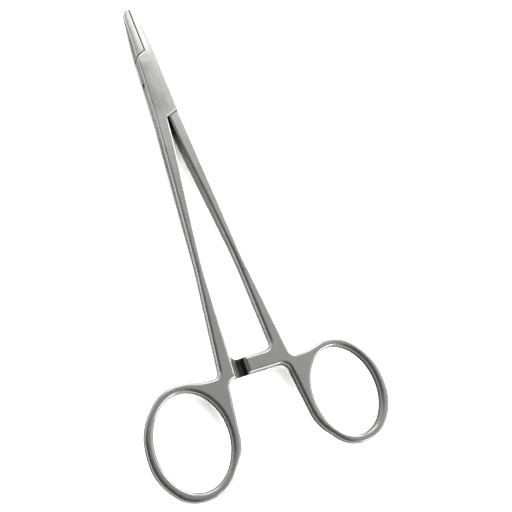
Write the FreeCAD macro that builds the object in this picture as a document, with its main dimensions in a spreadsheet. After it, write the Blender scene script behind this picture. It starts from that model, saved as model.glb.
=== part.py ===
import FreeCAD
import Part
import Sketcher
import math
import os

# Surgical needle holder, 149 mm, plain stainless steel, with a screwless box lock.
# The pin of the lock is on the Z axis, +Y runs to the jaw tips and +Z is up.
# The two halves are the same forging: one carries the box and the other, turned over,
# carries the tongue that passes through it. Lengths are in millimetres, angles in degrees.

SIZES = {
    # jaws
    "jaw_reach": 29.1,
    "jaw_gap": 0.3,
    "jaw_tip_thick": 2.0,
    "jaw_side_round": 60.0,
    "tip_blunt": 1.0,
    "tip_width": 2.2,
    "tip_slope": 1.7,
    "tip_round": 1.1,
    "tip_side_round": 2.5,
    # box lock
    "box_thick": 4.6,
    "box_reach": 12.2,
    "seam_drop": 2.3,
    "box_front": 3.05,
    "box_rear": 3.85,
    "box_side_round": 100.0,
    "seam_gap": 0.14,
    "tongue_thick": 1.7,
    "tongue_play": 0.06,
    "tongue_half": 2.36,
    "wing_play": 0.25,
    "open_angle": 30.0,
    "pin_radius": 1.5,
    "pin_head_radius": 1.9,
    "pin_head_depth": 0.5,
    "pin_play": 0.04,
    # shanks
    "shank_gap": 0.6,
    "shank_thick": 3.3,
    "crotch_gap": 0.9,
    "crotch_back": 20.5,
    "crotch_round": 120.0,
    "knee_back": 59.9,
    "knee_inner": 5.0,
    "knee_outer": 7.3,
    "knee_round": 200.0,
    "root_inner": 6.45,
    "root_outer": 10.8,
    # finger rings
    "ring_out": 22.85,
    "ring_back": 104.75,
    "ring_half_wide": 9.95,
    "ring_half_long": 12.6,
    "ring_rim": 2.35,
    "ring_thick": 3.0,
    "ring_lean": 0.5,
    "ring_swell_in": 0.1,
    "ring_swell_out": 0.25,
    "web_back": 91.2,
    "web_out": 15.6,
    "web_start": 1.5,
    "web_top_round": 8.0,
    "web_side_round": 13.0,
    "leg_root": 8.9,
    # ratchet
    "arm_back": 87.8,
    "arm_width": 4.9,
    "arm_past": 2.9,
    "arm_gap": 0.1,
    "arm_bite": 1.0,
    "tooth_start": 0.875,
    "tooth_pitch": 1.25,
    "tooth_depth": 0.5,
    "tooth_land": 0.1,
    "tooth_count": 6,
    # rounded edges
    "edge_round": 0.55,
    "ring_round": 1.0,
    "arm_root_round": 2.4,
    "leg_root_round": 2.4,
    "web_root_round": 1.8,
    # side view: where the thickness changes, and how gently
    "thin_lead": 3.0,
    "thin_lag": 6.0,
    "jaw_thin_round": 40.0,
    "shank_thin_round": 200.0,
    "arm_thin_round": 150.0,
    "ring_thin_round": 600.0,
    # how far the cutting sketches reach past the metal
    "overcut": 2.0,
}


class Size:
    """A length known both as a number and as the sheet expression it comes from."""

    def __init__(self, value, text):
        self.value = value
        self.text = text

    def __add__(self, other):
        other = as_size(other)
        return Size(self.value + other.value, f"({self.text} + {other.text})")

    def __sub__(self, other):
        other = as_size(other)
        return Size(self.value - other.value, f"({self.text} - {other.text})")

    def __mul__(self, other):
        other = as_size(other)
        return Size(self.value * other.value, f"({self.text} * {other.text})")

    def __truediv__(self, other):
        other = as_size(other)
        return Size(self.value / other.value, f"({self.text} / {other.text})")

    def __neg__(self):
        return Size(-self.value, f"(0 - {self.text})")


def as_size(thing):
    return thing if isinstance(thing, Size) else Size(float(thing), repr(float(thing)))


doc = FreeCAD.newDocument("needle_holder")
sheet = doc.addObject("Spreadsheet::Sheet", "sizes")
size = {}
for row, (word, number) in enumerate(SIZES.items(), start=1):
    sheet.set(f"A{row}", word)
    sheet.set(f"B{row}", str(number))
    sheet.setAlias(f"B{row}", word)
    size[word] = Size(number, f"sizes.{word}")
doc.recompute()


def on_plane(body, role, name, offset=None):
    """A sketch on one of the body's own origin planes, moved along the plane's normal."""
    sketch = body.newObject("Sketcher::SketchObject", name)
    plane = next(p for p in body.Origin.OriginFeatures if p.Role == role)
    sketch.AttachmentSupport = [(plane, "")]
    sketch.MapMode = "FlatFace"
    if offset is not None:
        sketch.setExpression("AttachmentOffset.Base.z", offset.text)
    return sketch


def fix_point(sketch, geo, pos, x, y):
    """Hold a point of the sketch at its sheet position."""
    for kind, length in (("DistanceX", x), ("DistanceY", y)):
        length = as_size(length)
        at = sketch.addConstraint(Sketcher.Constraint(kind, -1, 1, geo, pos, length.value))
        sketch.setExpression(f"Constraints[{at}]", length.text)


def outline(sketch, corners):
    """A closed outline through corners (x, y), rounded off where a corner is (x, y, radius)."""
    spots = [FreeCAD.Vector(as_size(c[0]).value, as_size(c[1]).value, 0) for c in corners]
    count = len(corners)
    ends = []
    for i, corner in enumerate(corners):
        here = spots[i]
        back = (spots[i - 1] - here).normalize()
        ahead = (spots[(i + 1) % count] - here).normalize()
        if len(corner) == 2:
            ends.append((here, here, None))
            continue
        radius = as_size(corner[2])
        half_angle = back.getAngle(ahead) / 2
        reach = radius.value / math.tan(half_angle)
        middle = here + (back + ahead).normalize() * (radius.value / math.sin(half_angle))
        first, last = here + back * reach, here + ahead * reach
        left = back.cross(ahead).z < 0
        start, end = (first, last) if left else (last, first)
        a0 = math.atan2(start.y - middle.y, start.x - middle.x)
        a1 = math.atan2(end.y - middle.y, end.x - middle.x)
        whole = Part.Circle(middle, FreeCAD.Vector(0, 0, 1), radius.value)
        arc = sketch.addGeometry(Part.ArcOfCircle(whole, a0, a1), False)
        ends.append((first, last, (arc, 1 if left else 2, 2 if left else 1, radius)))
    lines = []
    for i in range(count):
        line = Part.LineSegment(ends[i][1], ends[(i + 1) % count][0])
        lines.append(sketch.addGeometry(line, False))
    for i, corner in enumerate(corners):
        before, after = lines[i - 1], lines[i]
        if ends[i][2] is None:
            sketch.addConstraint(Sketcher.Constraint("Coincident", before, 2, after, 1))
            fix_point(sketch, after, 1, corner[0], corner[1])
            continue
        arc, arc_in, arc_out, radius = ends[i][2]
        sketch.addConstraint(Sketcher.Constraint("Tangent", before, 2, arc, arc_in))
        sketch.addConstraint(Sketcher.Constraint("Tangent", after, 1, arc, arc_out))
        at = sketch.addConstraint(Sketcher.Constraint("Radius", arc, radius.value))
        sketch.setExpression(f"Constraints[{at}]", radius.text)
        mark = sketch.addGeometry(Part.Point(spots[i]), True)
        fix_point(sketch, mark, 1, corner[0], corner[1])
        sketch.addConstraint(Sketcher.Constraint("PointOnObject", mark, 1, before))
        sketch.addConstraint(Sketcher.Constraint("PointOnObject", mark, 1, after))


def circle(sketch, radius):
    """A circle about the sketch's origin."""
    ring = sketch.addGeometry(
        Part.Circle(FreeCAD.Vector(0, 0, 0), FreeCAD.Vector(0, 0, 1), radius.value), False)
    sketch.addConstraint(Sketcher.Constraint("Coincident", ring, 3, -1, 1))
    at = sketch.addConstraint(Sketcher.Constraint("Radius", ring, radius.value))
    sketch.setExpression(f"Constraints[{at}]", radius.text)


def feature(body, kind, name, sketch, length=None, side="Symmetric", reverse=False):
    """A pad, pocket or groove of the sketch; without a length it goes right through."""
    made = body.newObject(f"PartDesign::{kind}", name)
    made.Profile = sketch
    made.SideType = side
    made.Reversed = reverse
    if length is None:
        made.Type = "ThroughAll"
    else:
        made.setExpression("Length", length.text)
    doc.recompute()
    return made


def turned(body, kind, name, sketch):
    """A revolution or groove of the sketch about the pin's axis."""
    made = body.newObject(f"PartDesign::{kind}", name)
    made.Profile = sketch
    axis = next(p for p in body.Origin.OriginFeatures if p.Role == "Z_Axis")
    made.ReferenceAxis = (axis, [""])
    made.Angle = 360
    doc.recompute()
    return made


def half(word):
    return size[word] / 2


def blank(name):
    """One forged half before the lock is cut: right jaw, full box, left shank, ring and lower arm."""
    body = doc.addObject("PartDesign::Body", name)

    # The plan outline, clockwise from the inner corner of the jaw tip.
    s = size
    # The ring's outline is an eight-sided frame whose corners are rounded to follow an oval.
    eighth = math.tan(math.pi / 8)
    end_fit = 0.95
    side_fit = 0.82
    inner_fit = 0.66
    out_wide = s["ring_half_wide"] + s["ring_rim"]
    out_long = s["ring_half_long"] + s["ring_rim"]
    ring_top = -s["ring_back"] + out_long
    ring_low = -s["ring_back"] - out_long
    top_x = -s["ring_out"] + s["ring_lean"]
    low_x = -s["ring_out"] - s["ring_lean"]
    end_round = out_wide * out_wide / out_long * end_fit
    side_round = out_long * out_long / out_wide
    arm_low = -s["arm_back"] - s["arm_width"]
    seam_end = s["box_reach"] - s["seam_drop"]
    plan = on_plane(body, "XY_Plane", f"{name}_plan")
    outline(plan, [
        (half("jaw_gap"), s["jaw_reach"]),
        (s["tip_blunt"], s["jaw_reach"], s["tip_round"]),
        (s["tip_width"], s["jaw_reach"] - s["tip_slope"], s["tip_side_round"]),
        (s["box_front"], s["box_reach"], s["jaw_side_round"]),
        (s["box_rear"], -seam_end),
        (-half("shank_gap"), -s["box_reach"]),
        (-s["crotch_gap"], -s["crotch_back"], s["crotch_round"]),
        (-s["knee_inner"], -s["knee_back"], s["knee_round"]),
        (-s["root_inner"], arm_low),
        (-s["leg_root"], arm_low, s["leg_root_round"]),
        (low_x + out_wide + s["ring_swell_in"], -s["ring_back"] - out_long * eighth,
         side_round * inner_fit),
        (low_x + out_wide * eighth, ring_low, end_round),
        (low_x - out_wide * eighth, ring_low, end_round),
        (low_x - out_wide + s["ring_swell_out"], -s["ring_back"] - out_long * eighth,
         side_round * side_fit),
        (top_x - out_wide - s["ring_swell_out"], -s["ring_back"] + out_long * eighth,
         side_round * side_fit),
        (top_x - out_wide * eighth, ring_top, end_round),
        (top_x + s["web_start"], ring_top, s["web_top_round"]),
        (-s["web_out"], -s["web_back"], s["web_side_round"]),
        (-s["root_outer"], -s["web_back"], s["web_root_round"]),
        (-s["knee_outer"], -s["knee_back"], s["knee_round"]),
        (-s["box_rear"], -s["box_reach"], s["box_side_round"]),
        (-s["box_front"], seam_end),
        (half("jaw_gap"), s["box_reach"]),
    ])
    feature(body, "Pad", f"{name}_forging", plan, s["box_thick"])

    # The finger hole.
    hole = on_plane(body, "XY_Plane", f"{name}_finger_hole")
    centre = FreeCAD.Vector(-s["ring_out"].value, -s["ring_back"].value, 0)
    tilt = math.atan2(s["ring_lean"].value, s["ring_half_long"].value)
    tall = FreeCAD.Vector(math.sin(tilt), math.cos(tilt), 0) * s["ring_half_long"].value
    wide = FreeCAD.Vector(math.cos(tilt), -math.sin(tilt), 0) * s["ring_half_wide"].value
    oval = hole.addGeometry(Part.Ellipse(centre + tall, centre + wide, centre), False)
    hole.exposeInternalGeometry(oval)
    fix_point(hole, oval, 3, -s["ring_out"], -s["ring_back"])
    for axis, length in ((1, s["ring_half_long"]), (2, s["ring_half_wide"])):
        at = hole.addConstraint(Sketcher.Constraint("Distance", axis, length.value * 2))
        hole.setExpression(f"Constraints[{at}]", (length * 2).text)
    lean = hole.addConstraint(Sketcher.Constraint("Angle", oval + 1, math.pi / 2 - tilt))
    hole.setExpression(
        f"Constraints[{lean}]", "90 deg - atan(sizes.ring_lean / sizes.ring_half_long)")
    feature(body, "Pocket", f"{name}_finger_opening", hole)

    # The side profile: thickest at the box, thinner at the tips and the rings.
    side = on_plane(body, "YZ_Plane", f"{name}_side")
    slope = (s["box_thick"] - s["jaw_tip_thick"]) / 2 / (s["jaw_reach"] - s["box_reach"])
    beyond = s["jaw_reach"] + s["overcut"]
    behind = ring_low - s["overcut"]
    for way in (1, -1):
        outline(side, [
            (beyond, (half("jaw_tip_thick") - slope * s["overcut"]) * way),
            (s["box_reach"], half("box_thick") * way, s["jaw_thin_round"]),
            (-s["box_reach"], half("box_thick") * way, s["shank_thin_round"]),
            (-s["arm_back"] + s["thin_lead"], half("shank_thick") * way, s["arm_thin_round"]),
            (arm_low - s["thin_lag"], half("shank_thick") * way, s["ring_thin_round"]),
            (behind, half("ring_thick") * way),
            (behind, s["box_thick"] * way),
            (beyond, s["box_thick"] * way),
        ])
    feature(body, "Pocket", f"{name}_thinning", side)

    # The ratchet arm takes the lower half of the thickness, so that the two arms pass.
    arm = on_plane(body, "XY_Plane", f"{name}_arm_plan", -half("arm_gap"))
    outline(arm, [
        (-s["root_inner"] - s["arm_bite"], -s["arm_back"]),
        (-s["root_inner"] - s["arm_bite"], arm_low),
        (s["arm_past"], arm_low),
        (s["arm_past"], -s["arm_back"]),
    ])
    arm_pad = feature(body, "Pad", f"{name}_arm", arm, (s["shank_thick"] - s["arm_gap"]) / 2,
                      side="One side", reverse=True)

    # A hollow blend where the arm leaves the shank.
    for number, edge in enumerate(arm_pad.Shape.Edges, start=1):
        middle = edge.valueAt((edge.FirstParameter + edge.LastParameter) / 2)
        upright = abs(edge.tangentAt(edge.FirstParameter).z) > 0.99
        at_root = abs(middle.y + s["arm_back"].value) < 0.01 and middle.z < 0
        if upright and at_root and middle.x < 0:
            blend = body.newObject("PartDesign::Fillet", f"{name}_arm_root")
            blend.Base = (arm_pad, [f"Edge{number}"])
            blend.setExpression("Radius", s["arm_root_round"].text)
    doc.recompute()
    return body


def rounded(name, base):
    """The forging with its rims rounded, finely at the box and fully from the knee on."""
    shape = base.Shape
    fine, full = size["edge_round"].value, size["ring_round"].value
    begin, finish = size["box_reach"].value, size["knee_back"].value

    def radius(y):
        share = min(max((-y - begin) / (finish - begin), 0), 1)
        return fine + (full - fine) * share

    def steepness(face):
        u0, u1, v0, v1 = face.ParameterRange
        return abs(face.normalAt((u0 + u1) / 2, (v0 + v1) / 2).z)

    chosen = []
    for number, edge in enumerate(shape.Edges, start=1):
        middle = edge.valueAt((edge.FirstParameter + edge.LastParameter) / 2)
        slants = [steepness(face) for face in shape.ancestorsOfType(edge, Part.Face)]
        if min(slants) > 0.1 or max(slants) < 0.8 or abs(middle.z) < size["arm_gap"].value:
            continue
        inside = abs(middle.x) < size["box_front"].value - size["edge_round"].value / 4
        on_seam = inside and abs(middle.y) < size["box_reach"].value
        on_jaw_face = abs(middle.x) < size["jaw_gap"].value and middle.y > 0
        if not on_seam and not on_jaw_face:
            start, end = edge.valueAt(edge.FirstParameter), edge.valueAt(edge.LastParameter)
            chosen.append((number, radius(start.y), radius(end.y)))
    made = doc.addObject("Part::Fillet", name)
    made.Base = base
    made.Edges = chosen
    doc.recompute()
    return made


def add_teeth(body, name):
    """The saw teeth of the ratchet arm, whose steep sides hold the handles closed."""
    s = size
    teeth = on_plane(body, "XZ_Plane", f"{name}_tooth_side", s["arm_back"] + half("arm_width"))
    steep = s["arm_past"] - s["tooth_start"]
    outline(teeth, [
        (steep, -half("arm_gap")),
        (steep - s["tooth_pitch"] + s["tooth_land"], -half("arm_gap")),
        (steep, -half("arm_gap") - s["tooth_depth"]),
    ])
    notch = feature(body, "Pocket", f"{name}_notch", teeth, s["arm_width"] + s["overcut"])
    rack = body.newObject("PartDesign::LinearPattern", f"{name}_teeth")
    rack.Originals = [notch]
    rack.Direction = (next(p for p in body.Origin.OriginFeatures if p.Role == "X_Axis"), [""])
    rack.Reversed = True
    rack.setExpression("Occurrences", "sizes.tooth_count")
    rack.Mode = "Spacing"
    rack.setExpression("Offset", s["tooth_pitch"].text)
    body.Tip = rack
    doc.recompute()


def pin_profile(body, name):
    """Half the section of the riveted pin, a shaft with a countersunk head at each end."""
    side = on_plane(body, "XZ_Plane", name)
    top = half("box_thick")
    outline(side, [
        (0, -top),
        (size["pin_head_radius"], -top),
        (size["pin_radius"], -top + size["pin_head_depth"]),
        (size["pin_radius"], top - size["pin_head_depth"]),
        (size["pin_head_radius"], top),
        (0, top),
    ])
    return side


def trig(name, angle):
    return Size(getattr(math, name)(angle.value), f"{name}({angle.text})")


forging = blank("forging")
round_forging = rounded("round_forging", forging)

# The tongue is a straight strip that leans across the pin, so that each of its sides meets
# the jaw line or the crotch at the end of the box.
lean = Size(math.asin(size["tongue_half"].value / size["box_reach"].value),
            "asin(sizes.tongue_half / sizes.box_reach)")
swing = Size(math.radians(size["open_angle"].value), "(sizes.open_angle * 1 deg)")
seam_end = size["box_reach"] - size["seam_drop"]

# The half with the box: the slot lets the tongue swing between its closed and open walls.
box_half = doc.addObject("PartDesign::Body", "box_half")
box_half.BaseFeature = round_forging
box_half.Label = "box_half"
box_half.setExpression("Placement.Base.z", half("box_thick").text)
doc.recompute()
wall = size["tongue_half"] + size["tongue_play"]
open_lean = lean + swing
mid_lean = lean + swing / 2
stop = wall / trig("cos", swing / 2)
wide = size["box_rear"] + size["overcut"]
long = size["box_reach"] + size["overcut"]
side_y = (wall - half("jaw_gap") * trig("cos", lean)) / trig("sin", lean)
exit_y = (wall - wide * trig("cos", open_lean)) / trig("sin", open_lean)
front_side = [
    (half("jaw_gap"), long),
    (half("jaw_gap"), side_y),
    (stop * trig("cos", mid_lean), stop * trig("sin", mid_lean)),
    (wide, exit_y),
    (wide, -long),
]
slot = on_plane(box_half, "XY_Plane", "slot_plan")
outline(slot, front_side + [(-x, -y) for x, y in front_side])
feature(box_half, "Pocket", "slot", slot, size["tongue_thick"] + size["tongue_play"] * 2)
turned(box_half, "Groove", "pin_seat", pin_profile(box_half, "pin_seat_side"))
add_teeth(box_half, "box_half")

# The half with the tongue is the same forging turned over, thinned between the seams.
tongue_half = doc.addObject("PartDesign::Body", "tongue_half")
tongue_half.BaseFeature = round_forging
tongue_half.Label = "tongue_half"
tongue_half.Placement.Rotation = FreeCAD.Rotation(FreeCAD.Vector(0, 1, 0), 180)
tongue_half.setExpression("Placement.Base.z", half("box_thick").text)
doc.recompute()
front_in = (-half("jaw_gap"), size["box_reach"] + size["seam_gap"])
front_out = (size["box_front"], seam_end + size["seam_gap"])
rear_in = (half("shank_gap"), -size["box_reach"] - size["seam_gap"])
rear_out = (-size["box_rear"], -seam_end - size["seam_gap"])


def past(near, far):
    """The point as far beyond near as far is before it."""
    return (near[0] * 2 - far[0], near[1] * 2 - far[1])


for name, way in (("upper_recess", 1), ("lower_recess", -1)):
    plan = on_plane(tongue_half, "XY_Plane", f"{name}_plan", half("tongue_thick") * way)
    outline(plan, [past(front_in, front_out), past(front_out, front_in),
                   past(rear_in, rear_out), past(rear_out, rear_in)])
    feature(tongue_half, "Pocket", name, plan, side="One side", reverse=way > 0)

# Beyond the strip the tongue has a wing on each side that fills the mouth of the slot. It stops
# short of the box's wall, so that its corner swings out past the side of the box.
box_side = (size["box_front"] + size["box_rear"]) / 2
mouth = (wall - box_side * trig("cos", open_lean)) / trig("sin", open_lean)
wing_run = trig("sqrt", box_side * box_side + mouth * mouth - wall * wall) + size["wing_play"]
wing_x = size["tongue_half"] * trig("cos", lean) + wing_run * trig("sin", lean)
wing_y = size["tongue_half"] * trig("sin", lean) - wing_run * trig("cos", lean)
turn_in = box_side * trig("cos", swing)
corner_y = -(box_side + size["wing_play"] - turn_in) / trig("sin", swing)
edge_y = corner_y + (corner_y - wing_y) / (box_side - wing_x) * (wide - box_side)
sides = on_plane(tongue_half, "XY_Plane", "tongue_plan")
tip_y = size["box_reach"] + half("jaw_gap") / trig("tan", lean)
for way in (1, -1):
    outline(sides, [
        (half("jaw_gap") * way, tip_y * way),
        (-wing_x * way, wing_y * way),
        (-wide * way, edge_y * way),
        (-wide * way, tip_y * way),
    ])
feature(tongue_half, "Pocket", "tongue_sides", sides)
bore = on_plane(tongue_half, "XY_Plane", "bore_plan")
circle(bore, size["pin_radius"] + size["pin_play"])
feature(tongue_half, "Pocket", "bore", bore)
add_teeth(tongue_half, "tongue_half")

# The pin is riveted flush into the box.
hinge_pin = doc.addObject("PartDesign::Body", "hinge_pin")
hinge_pin.Label = "hinge_pin"
hinge_pin.setExpression("Placement.Base.z", half("box_thick").text)
turned(hinge_pin, "Revolution", "pin", pin_profile(hinge_pin, "pin_side"))

doc.recompute()
for thing in doc.Objects:
    if "Invalid" in thing.State or "Error" in thing.State:
        raise RuntimeError(f"{thing.Name} did not build")
nodes = (box_half, tongue_half, hinge_pin)
for node in nodes:
    if node.Shape.isNull() or not node.Shape.isValid() or len(node.Shape.Solids) != 1:
        raise RuntimeError(f"{node.Label} is not one sound solid")
os.makedirs("parts", exist_ok=True)
for node in nodes:
    node.Shape.exportStep(f"parts/{node.Label}.step")
    print(node.Label, node.Shape.BoundBox)
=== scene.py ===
import bpy
import math
from mathutils import Euler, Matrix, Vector


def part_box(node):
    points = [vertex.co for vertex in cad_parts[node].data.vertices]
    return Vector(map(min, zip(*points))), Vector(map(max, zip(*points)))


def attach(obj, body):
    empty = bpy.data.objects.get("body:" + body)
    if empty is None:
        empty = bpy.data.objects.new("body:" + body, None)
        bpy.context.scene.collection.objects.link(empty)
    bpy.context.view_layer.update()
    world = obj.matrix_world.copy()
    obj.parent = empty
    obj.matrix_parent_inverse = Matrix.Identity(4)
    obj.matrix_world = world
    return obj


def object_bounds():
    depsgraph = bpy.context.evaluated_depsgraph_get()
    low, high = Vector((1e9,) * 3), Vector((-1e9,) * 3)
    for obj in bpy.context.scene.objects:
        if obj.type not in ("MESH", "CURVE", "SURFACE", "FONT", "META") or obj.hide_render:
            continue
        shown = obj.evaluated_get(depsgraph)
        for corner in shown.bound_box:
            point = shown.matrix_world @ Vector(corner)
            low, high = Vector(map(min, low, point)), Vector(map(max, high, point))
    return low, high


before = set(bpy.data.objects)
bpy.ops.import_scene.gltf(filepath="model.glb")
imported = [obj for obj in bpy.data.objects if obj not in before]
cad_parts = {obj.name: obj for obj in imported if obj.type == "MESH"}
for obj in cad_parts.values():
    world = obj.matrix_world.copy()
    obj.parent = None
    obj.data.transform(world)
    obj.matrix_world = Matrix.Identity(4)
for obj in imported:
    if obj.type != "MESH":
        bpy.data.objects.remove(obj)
cad_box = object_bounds()
MM = 0.001

# The half with the box: one stainless steel forging with the right jaw, the box of the lock, the
# left shank, the left finger ring and the lower ratchet arm. It was ground lengthwise on a belt,
# round its finger ring as well, and then brushed to a satin; a painted highlight is on its rims.
RING_OUT = 22.85 * MM
RING_BACK = 104.75 * MM
RING_MEAN = 12 * MM
SHANKS_FROM = 12.2 * MM
SHANK_SPREAD = 0.1
RING_GRIND_FROM = 90 * MM
RING_GRIND_FULL = 96 * MM
FINE_MARK, FINE_RUN = 0.11 * MM, 4 * MM
BELT_MARK, BELT_RUN = 0.5 * MM, 13 * MM
WAVE = 5 * MM
WIPED_PATCH = 3.5 * MM
BLASTED_FROM, BLASTED_FULL = 62 * MM, 84 * MM
STEEL_PALE = (0.66, 0.66, 0.65, 1)
STEEL_DEEP = (0.53, 0.53, 0.52, 1)
STEEL_WIPED = (0.47, 0.47, 0.46, 1)
# Painted shade on the side walls, painted lighter at the box, and darkest on the finger rings.
SIDE_PAINTED_SHADE = (0.45, 0.45, 0.44, 1)
BOX_SIDE_PAINTED_LIGHT = (0.7, 0.7, 0.69, 1)
RING_SIDE_PAINTED_SHADE = (0.22, 0.217, 0.211, 1)
RIM_POLISH = 0.11
# The share of the painted highlight on the shank rims.
RIM_HIGHLIGHT_SHARE = 0.6
CROWN = 16.0
CROWN_MIDDLE = 0.9 * MM
JAW_CROWN = 2.4
# A painted highlight on the shank rims and the seam edges.
EDGE_PAINTED_HIGHLIGHT = (0.92, 0.92, 0.92, 1)
# Painted shade in the seams, the crotch, the jaw faces and the ratchet teeth, rougher there.
PAINTED_SHADE_COLOUR = (0.16, 0.155, 0.145, 1)
SHADED_ROUGH = 0.15
GRIP_SHADE = 0.75
RATCHET_REACH = 5.6 * MM
RATCHET_BACK, RATCHET_FRONT = -93.3 * MM, -87.2 * MM
RATCHET_LOW, RATCHET_HIGH = 1.65 * MM, 2.95 * MM
SEAMS = (((0.0, 12.25), (-3.4, 9.9)), ((0.0, -12.25), (4.2, -9.9)))


class Maker:
    """Adds nodes to one node tree and links them up."""

    def __init__(self, tree):
        self.tree = tree

    def put(self, socket, value):
        if isinstance(value, bpy.types.NodeSocket):
            self.tree.links.new(value, socket)
        else:
            socket.default_value = value

    def node(self, kind, inputs=(), **settings):
        made = self.tree.nodes.new(kind)
        for name, value in settings.items():
            setattr(made, name, value)
        for at, value in dict(inputs).items():
            self.put(made.inputs[at], value)
        return made

    def math(self, operation, *values):
        made = self.node("ShaderNodeMath", operation=operation)
        for socket, value in zip(made.inputs, values):
            self.put(socket, value)
        return made.outputs[0]

    def ramp(self, value, low, high, start=0.0, end=1.0):
        """start below low, end above high and smooth in between."""
        made = self.node("ShaderNodeMapRange", interpolation_type="SMOOTHSTEP", clamp=True)
        for socket, number in zip(made.inputs, (value, low, high, start, end)):
            self.put(socket, number)
        return made.outputs[0]

    def band(self, value, low, high, rise, fall):
        """1 between low and high, faded over rise above low and over fall below high."""
        return self.times(self.ramp(value, low, low + rise), self.ramp(value, high - fall, high, 1.0, 0.0))

    def times(self, *values):
        product = values[0]
        for value in values[1:]:
            product = self.math("MULTIPLY", product, value)
        return product

    def plus(self, *values):
        total = values[0]
        for value in values[1:]:
            total = self.math("ADD", total, value)
        return total

    def noise(self, vector, scale=1.0, detail=3.0, rough=0.55, turn=None):
        made = self.node("ShaderNodeTexNoise", {"Vector": vector, "Scale": scale, "Detail": detail,
                                                "Roughness": rough})
        if turn is not None:
            made.noise_dimensions = "4D"
            self.put(made.inputs["W"], turn)
        return made.outputs["Fac"]

    def mix(self, share, first, second):
        made = self.node("ShaderNodeMix", data_type="RGBA")
        self.put(made.inputs[0], share)
        self.put(made.inputs[6], first)
        self.put(made.inputs[7], second)
        return made.outputs[2]

    def vector(self, x, y, z):
        return self.node("ShaderNodeCombineXYZ", {0: x, 1: y, 2: z}).outputs[0]


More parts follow.
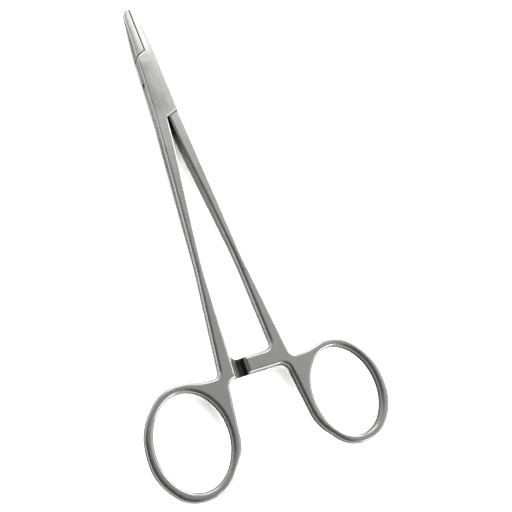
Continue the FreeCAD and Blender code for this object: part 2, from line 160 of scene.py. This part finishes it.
def satin_steel(name, rough=0.2, grain=1.0, paints_shade=True):
    """Satin stainless steel, ground along the shanks and round the finger rings, with painted shade on its
    walls and recesses and a painted highlight on its rims.
    """
    material = bpy.data.materials.new(name)
    material.use_nodes = True
    make = Maker(material.node_tree)
    shader = material.node_tree.nodes["Principled BSDF"]
    shader.inputs["Metallic"].default_value = 1.0

    place = make.node("ShaderNodeTexCoord")
    x, y, z = make.node("ShaderNodeSeparateXYZ", {0: place.outputs["Object"]}).outputs
    facing = make.node("ShaderNodeSeparateXYZ", {0: place.outputs["Normal"]}).outputs[2]
    out = make.math("ABSOLUTE", x)

    # Along the shank: fine across it and long down it.
    behind_box = make.math("MINIMUM", make.plus(y, SHANKS_FROM), 0.0)
    across = make.math("MULTIPLY_ADD", make.times(make.math("SIGN", x), behind_box), SHANK_SPREAD, x)
    # Round the ring: fine across its rim and long round it.
    from_x = make.math("SUBTRACT", out, RING_OUT)
    from_y = make.plus(y, RING_BACK)
    radius = make.math("SQRT", make.plus(make.times(from_x, from_x), make.times(from_y, from_y)))
    round_x = make.math("DIVIDE", from_x, radius)
    round_y = make.math("DIVIDE", from_y, radius)
    back = make.times(y, -1.0)
    at_ring = make.ramp(back, RING_GRIND_FROM, RING_GRIND_FULL)
    off_ring = make.math("SUBTRACT", 1.0, at_ring)

    def streaks(wide, run, detail):
        """Noise drawn out into marks of this width and run."""
        down = make.vector(make.times(across, 1 / wide), make.times(y, 1 / run), make.times(z, 1 / wide))
        about = make.vector(make.times(radius, 1 / wide), make.times(round_x, RING_MEAN / run),
                            make.times(z, 1 / wide))
        shank = make.noise(down, detail=detail)
        ring = make.noise(about, detail=detail, turn=make.times(round_y, RING_MEAN / run))
        made = make.node("ShaderNodeMix", data_type="FLOAT")
        for socket, value in zip(made.inputs[:4], (at_ring, None, shank, ring)):
            if value is not None:
                make.put(socket, value)
        return made.outputs[0]

    fine_marks = streaks(FINE_MARK, FINE_RUN, 2.0)
    belt_marks = streaks(BELT_MARK, BELT_RUN, 3.0)
    waves = make.noise(place.outputs["Object"], scale=1 / WAVE, detail=2.0)

    # The handles were blasted after grinding, so their marks are fainter than those of the box.
    plainness = make.ramp(back, BLASTED_FROM, BLASTED_FULL, 1.0, 0.25)
    tone = make.plus(make.times(belt_marks, 0.6), make.times(waves, 0.4))
    tone = make.math("MULTIPLY_ADD", make.math("SUBTRACT", tone, 0.5), plainness, 0.5)
    colour = make.mix(make.ramp(tone, 0.3, 0.7), STEEL_DEEP, STEEL_PALE)
    # The flat of the box is dulled where it was wiped.
    patches = make.noise(place.outputs["Object"], scale=1 / WIPED_PATCH, detail=1.0)
    wiped = make.times(make.ramp(make.math("ABSOLUTE", y), 7 * MM, 12 * MM, 1.0, 0.0),
                       make.ramp(x, 0.5 * MM, 2.8 * MM, 1.0, 0.0),
                       make.ramp(patches, 0.2, 0.8, 0.4, 1.0))
    colour = make.mix(wiped, colour, STEEL_WIPED)
    # Painted shade on the side walls: darker than the flats along the shanks and darkest round the
    # finger rings, but painted lighter at the box. Flatness is 0 on a wall and 1 on a flat face.
    flatness = make.math("ABSOLUTE", facing)
    at_box = make.band(y, -22 * MM, 15 * MM, 12 * MM, 6 * MM)
    side = make.times(off_ring, make.ramp(flatness, 0.05, 0.45, 1.0, 0.0))
    colour = make.mix(side, colour, make.mix(at_box, SIDE_PAINTED_SHADE, BOX_SIDE_PAINTED_LIGHT))
    side = make.times(at_ring, make.ramp(flatness, 0.1, 0.75, 1.0, 0.0))
    colour = make.mix(side, colour, RING_SIDE_PAINTED_SHADE)
    # Painted highlight on the rounded edges of the shanks, a near-white colour mixed in; all rounded edges
    # are also less rough.
    rim = make.times(make.ramp(flatness, 0.05, 0.35), make.ramp(flatness, 0.9, 0.99, 1.0, 0.0))
    shank_rim = make.times(rim, off_ring, make.ramp(flatness, 0.2, 0.45))
    colour = make.mix(make.times(shank_rim, RIM_HIGHLIGHT_SHARE), colour, EDGE_PAINTED_HIGHLIGHT)
    gloss = make.plus(make.times(fine_marks, 0.1), make.times(belt_marks, 0.08), rough)
    gloss = make.math("SUBTRACT", gloss, make.times(rim, RIM_POLISH))

    if paints_shade:
        # Painted shade in the teeth of the ratchet, where the steel is darkened towards a near-black
        # colour.
        painted_shade = make.times(make.ramp(out, RATCHET_REACH, RATCHET_REACH + 0.4 * MM, 1.0, 0.0),
                         make.band(y, RATCHET_BACK, RATCHET_FRONT, 0.5 * MM, 0.5 * MM),
                         make.band(z, RATCHET_LOW, RATCHET_HIGH, 0.1 * MM, 0.1 * MM))
        # In the crotch between the shanks: painted shade.
        crotch_shade = make.times(make.ramp(flatness, 0.1, 0.35, 1.0, 0.0),
                            make.ramp(out, 1.2 * MM, 1.9 * MM, 1.0, 0.0),
                            make.band(y, -27 * MM, 1 * MM, 13 * MM, 1 * MM))
        painted_shade = make.math("MAXIMUM", painted_shade, crotch_shade)
        # On the faces that the jaws grip with: painted shade in the gap between the jaws.
        grip_shade = make.times(make.ramp(out, 0.2 * MM, 0.3 * MM, GRIP_SHADE, 0.0),
                          make.ramp(y, 11 * MM, 12 * MM))
        painted_shade = make.math("MAXIMUM", painted_shade, grip_shade)
        # And painted shade along the two seams of the box, where the halves meet.
        for near, far in SEAMS:
            run = Vector((far[0] - near[0], far[1] - near[1])).normalized()
            past_x = make.math("SUBTRACT", x, near[0] * MM)
            past_y = make.math("SUBTRACT", y, near[1] * MM)
            along = make.plus(make.times(past_x, run.x), make.times(past_y, run.y))
            off = make.math("SUBTRACT", make.times(past_x, run.y), make.times(past_y, run.x))
            seam_shade = make.times(make.ramp(make.math("ABSOLUTE", off), 0.12 * MM, 0.3 * MM, 1.0, 0.0),
                              make.band(along, -0.3 * MM, 4.9 * MM, 0.3 * MM, 0.3 * MM))
            painted_shade = make.math("MAXIMUM", painted_shade, seam_shade)
            # A painted highlight on the box's edge along each seam.
            seam_highlight = make.times(make.band(off, -0.85 * MM, -0.25 * MM, 0.3 * MM, 0.15 * MM),
                                make.band(along, -0.3 * MM, 4.6 * MM, 0.3 * MM, 0.6 * MM))
            colour = make.mix(seam_highlight, colour, EDGE_PAINTED_HIGHLIGHT)
        # The painted shade is mixed in, patchy with the waves, and it makes the steel rougher there.
        colour = make.mix(make.times(painted_shade, make.ramp(waves, 0.2, 0.6, 0.55, 0.9)), colour, PAINTED_SHADE_COLOUR)
        gloss = make.math("MULTIPLY_ADD", painted_shade, SHADED_ROUGH, gloss)

    # Heights in thousandths of a millimetre.
    height = make.plus(make.times(fine_marks, 1.2), make.times(belt_marks, 2.6), make.times(waves, 12.0))
    height = make.times(height, plainness)
    # The belt left the box and the jaws a little crowned across.
    micron = 0.001 * MM
    off_middle = make.math("SUBTRACT", x, CROWN_MIDDLE)
    crown = make.times(off_middle, off_middle, -CROWN / micron, make.ramp(y, -22 * MM, -8 * MM),
                       make.ramp(y, 7 * MM, 13 * MM, 1.0, JAW_CROWN))
    bump = make.node("ShaderNodeBump", {"Height": make.plus(height, crown), "Distance": micron * grain,
                                        "Strength": 1.0})
    make.put(shader.inputs["Base Color"], colour)
    make.put(shader.inputs["Roughness"], gloss)
    make.put(shader.inputs["Normal"], bump.outputs[0])
    return material


def finish_node(name, material):
    """The node keeps its shape and takes this finish."""
    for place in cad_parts[name].material_slots:
        place.material = material


forged_steel = satin_steel("forged_steel")
finish_node("box_half", forged_steel)

# The half with the tongue: the same forging turned over, with the left jaw, the thin tongue that
# passes through the box, the right shank, the right finger ring and the upper ratchet arm.
finish_node("tongue_half", forged_steel)

# The hinge pin: a stainless rivet, closed into the countersinks of the box and ground flush with it.
pin_steel = satin_steel("pin_steel", rough=0.24, grain=0.8, paints_shade=False)
finish_node("hinge_pin", pin_steel)

# The gripping faces of the jaws: small pyramids left by two sets of crossing milled grooves, which
# hold a curved needle from turning. They are cut in the jaw's own steel, on both halves.
JAW_TEETH_FROM = 13.0 * MM
JAW_TEETH_TO = 28.4 * MM
JAW_FACE_OUT = 0.15 * MM
JAW_TIP_HALF = 1.0 * MM
JAW_TEETH_EDGE = 0.75 * MM
TOOTH_PITCH = 0.55 * MM
TOOTH_HEIGHT = 0.12 * MM
TOOTH_SUNK = 0.015 * MM
jaw_root = 12.2 * MM
jaw_tip = cad_box[1][1]
box_half_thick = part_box("box_half")[1][2] / 2


def jaw_tooth_tree():
    """Pyramids on a lattice that is turned by an eighth, kept where the jaw's face is."""
    tree = bpy.data.node_groups.new("jaw_teeth", "GeometryNodeTree")
    words = ("From", "To", "Root", "Tip", "Root Half", "Tip Half", "Pitch", "Height", "Sunk", "Out",
             "Lift", "Way")
    for word in words:
        tree.interface.new_socket(word, in_out="INPUT", socket_type="NodeSocketFloat")
    tree.interface.new_socket("Steel", in_out="INPUT", socket_type="NodeSocketMaterial")
    tree.interface.new_socket("Teeth", in_out="OUTPUT", socket_type="NodeSocketGeometry")
    make = Maker(tree)
    given = tree.nodes.new("NodeGroupInput").outputs

    # A square lattice of points, turned by an eighth, with its middle halfway along the teeth.
    span = make.math("SUBTRACT", given["To"], given["From"])
    count = make.plus(make.math("DIVIDE", span, given["Pitch"]), 1.0)
    field = make.node("GeometryNodeMeshGrid", {"Size X": span, "Size Y": span, "Vertices X": count,
                                               "Vertices Y": count}).outputs[0]
    middle = make.times(make.plus(given["From"], given["To"]), 0.5)
    field = make.node("GeometryNodeTransform", {
        "Geometry": field, "Rotation": (0, 0, math.radians(45))}).outputs[0]
    field = make.node("GeometryNodeTransform", {
        "Geometry": field, "Translation": make.vector(middle, 0.0, 0.0)}).outputs[0]

    # The jaw gets thinner towards its tip, so the rows are trimmed to its face.
    along, height, _ = make.node("ShaderNodeSeparateXYZ", {
        0: tree.nodes.new("GeometryNodeInputPosition").outputs[0]}).outputs
    edge = make.node("ShaderNodeMapRange", clamp=False)
    trim = (along, given["Root"], given["Tip"], given["Root Half"], given["Tip Half"])
    for socket, value in zip(edge.inputs, trim):
        make.put(socket, value)
    over = make.math("SUBTRACT", make.math("ABSOLUTE", height), edge.outputs[0])
    early = make.math("SUBTRACT", given["From"], along)
    late = make.math("SUBTRACT", along, given["To"])
    past_end = make.math("MAXIMUM", early, late)
    outside = make.math("GREATER_THAN", make.math("MAXIMUM", over, past_end), 0.0)
    kept = make.node("GeometryNodeDeleteGeometry", {"Geometry": field, "Selection": outside}).outputs[0]

    # One tooth: a four-sided pyramid whose base is sunk a little in the face.
    half_diagonal = make.times(given["Pitch"], math.sqrt(0.5))
    tooth = make.node("GeometryNodeMeshCone", {
        "Vertices": 4, "Radius Top": 0.0, "Radius Bottom": half_diagonal,
        "Depth": make.plus(given["Height"], given["Sunk"])}).outputs[0]
    rows = make.node("GeometryNodeInstanceOnPoints", {"Points": kept, "Instance": tooth}).outputs[0]
    plain = make.node("GeometryNodeRealizeInstances", {"Geometry": rows}).outputs[0]

    # Stood up on the face: Way is 1 for teeth that point to the left and -1 for the right.
    quarter = math.radians(90)
    face_x = make.times(make.plus(given["Out"], given["Sunk"]), given["Way"])
    stood = make.node("GeometryNodeTransform", {
        "Geometry": plain, "Translation": make.vector(face_x, 0.0, given["Lift"]),
        "Rotation": make.vector(make.times(given["Way"], -quarter), 0.0, quarter)}).outputs[0]
    steeled = make.node("GeometryNodeSetMaterial", {
        "Geometry": stood, "Material": given["Steel"]}).outputs[0]
    result = tree.nodes.new("NodeGroupOutput")
    make.put(result.inputs[0], steeled)
    return tree


def jaw_teeth(name, way, body):
    """The teeth on one jaw's face."""
    blank = bpy.data.objects.new(name, bpy.data.meshes.new(name))
    bpy.context.scene.collection.objects.link(blank)
    rows = blank.modifiers.new("rows", "NODES")
    rows.node_group = tooth_tree
    sizes = {"From": JAW_TEETH_FROM, "To": JAW_TEETH_TO, "Root": jaw_root, "Tip": jaw_tip,
             "Root Half": box_half_thick - JAW_TEETH_EDGE, "Tip Half": JAW_TIP_HALF - JAW_TEETH_EDGE,
             "Pitch": TOOTH_PITCH, "Height": TOOTH_HEIGHT, "Sunk": TOOTH_SUNK, "Out": JAW_FACE_OUT,
             "Lift": box_half_thick, "Way": way, "Steel": forged_steel}
    for socket in tooth_tree.interface.items_tree:
        if socket.in_out == "INPUT":
            rows[socket.identifier] = sizes[socket.name]
    shaped = blank.evaluated_get(bpy.context.evaluated_depsgraph_get())
    made = bpy.data.meshes.new_from_object(shaped)
    blank.modifiers.remove(rows)
    blank.data = made
    made.name = name
    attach(blank, body)


tooth_tree = jaw_tooth_tree()
jaw_teeth("right_jaw_teeth", 1.0, "box_body")
jaw_teeth("left_jaw_teeth", -1.0, "tongue_body")

# The stage: a wide pale floor that the instrument lies on. Seen straight on it is white, in the
# steel a little less, and it keeps a faint shadow.
FLOOR_WIDE = 6.0
FLOOR_DROP = 0.02 * MM
FLOOR_PALE = (0.86, 0.86, 0.86, 1)
FLOOR_SEEN = (6.2, 6.2, 6.2, 1)
MIRRORED_SHARE = 0.27
mesh = bpy.data.meshes.new("floor")
edge = FLOOR_WIDE / 2
mesh.from_pydata([(-edge, -edge, -FLOOR_DROP), (edge, -edge, -FLOOR_DROP), (edge, edge, -FLOOR_DROP),
                  (-edge, edge, -FLOOR_DROP)], [], [(0, 1, 2, 3)])
floor = bpy.data.objects.new("floor", mesh)
bpy.context.scene.collection.objects.link(floor)
pale = bpy.data.materials.new("pale_floor")
pale.use_nodes = True
make = Maker(pale.node_tree)
pale.node_tree.nodes.remove(pale.node_tree.nodes["Principled BSDF"])
rays = make.node("ShaderNodeLightPath").outputs
mirrored = make.math("MAXIMUM", rays["Is Glossy Ray"], rays["Is Transmission Ray"])
seen = make.math("MULTIPLY_ADD", mirrored, MIRRORED_SHARE, rays["Is Camera Ray"])
shade = make.mix(seen, FLOOR_PALE, FLOOR_SEEN)
matt = make.node("ShaderNodeBsdfDiffuse", {"Color": shade})
make.put(pale.node_tree.nodes["Material Output"].inputs[0], matt.outputs[0])
mesh.materials.append(pale)

# The light: a white tent, brightest at its walls to the right and the far end and dark where the
# camera looks in, and three soft lamps, at the far end, on the right and in front.
CEILING, WALL_RISE, BRIGHT_RISE, OPENING = 0.26, 0.31, 0.8, 0.03
BRIGHT_SIDE = Vector((0.82, 0.57, 0))
CAMERA_SIDE = Vector((-0.75, -0.43, 0.5)).normalized()
TENT_MIRRORED = 0.08
world = bpy.data.worlds.new("tent")
bpy.context.scene.world = world
world.use_nodes = True
make = Maker(world.node_tree)
sky = world.node_tree.nodes["Background"]
direction = make.node("ShaderNodeTexCoord").outputs["Generated"]
height = make.node("ShaderNodeSeparateXYZ", {0: direction}).outputs[2]


def facing_share(way):
    """How far a direction points the way given: 1 straight at it, 0 square to it."""
    turned = make.node("ShaderNodeVectorMath", {0: direction, 1: tuple(way)}, operation="DOT_PRODUCT")
    return turned.outputs["Value"]


wall = make.math("MULTIPLY_ADD", make.math("SUBTRACT", 1.0, height), WALL_RISE, CEILING)
bright = make.math("MAXIMUM", facing_share(BRIGHT_SIDE), 0.0)
tent = make.math("MULTIPLY_ADD", make.times(bright, bright), BRIGHT_RISE, wall)
opened = make.ramp(facing_share(CAMERA_SIDE), 0.3, 0.75)
light = make.node("ShaderNodeMix", data_type="FLOAT")
make.put(light.inputs[0], opened)
make.put(light.inputs[2], tent)
make.put(light.inputs[3], OPENING)
make.put(sky.inputs["Color"], (1, 1, 1, 1))
# Seen straight on, the tent is as white as the floor, and a little whiter in the steel.
rays = make.node("ShaderNodeLightPath").outputs
mirrored = make.math("MAXIMUM", rays["Is Glossy Ray"], rays["Is Transmission Ray"])
seen = make.math("MULTIPLY_ADD", mirrored, TENT_MIRRORED, rays["Is Camera Ray"])
shown = make.node("ShaderNodeMix", {0: seen}, data_type="FLOAT")
make.put(shown.inputs[2], light.outputs[0])
make.put(shown.inputs[3], 1.0)
make.put(sky.inputs["Strength"], shown.outputs[0])

LAMP_FAR = 0.8
for name, around, up, lamp_size, glow in (
        ("far_lamp", 17, 43, (0.32, 0.26), 1.6),
        ("right_lamp", 64, 24, (0.55, 0.3), 2.3),
        ("front_lamp", 140, 15, (0.6, 0.3), 1.8)):
    lamp = bpy.data.lights.new(name, "AREA")
    lamp.shape = "RECTANGLE"
    lamp.size, lamp.size_y = lamp_size
    lamp.energy = glow * math.pi * lamp_size[0] * lamp_size[1]
    holder = bpy.data.objects.new(name, lamp)
    turn, rise = math.radians(around), math.radians(up)
    way = Vector((math.cos(rise) * math.sin(turn), math.cos(rise) * math.cos(turn), math.sin(rise)))
    holder.location = way * LAMP_FAR
    holder.rotation_euler = way.to_track_quat("Z", "Y").to_euler()
    holder.visible_camera = False
    bpy.context.scene.collection.objects.link(holder)

# The camera: close above the left finger ring, looking down along the instrument.
view = bpy.data.cameras.new("camera")
view.lens = 50.29
view.sensor_width = 36
view.clip_start = 0.01
camera = bpy.data.objects.new("camera", view)
camera.location = (-69.01 * MM, -117.80 * MM, 184.85 * MM)
camera.rotation_euler = Euler([math.radians(a) for a in (23.285, -16.870, -20.683)], "XYZ")
bpy.context.scene.collection.objects.link(camera)
bpy.context.scene.camera = camera
bpy.context.scene.view_settings.view_transform = "Standard"
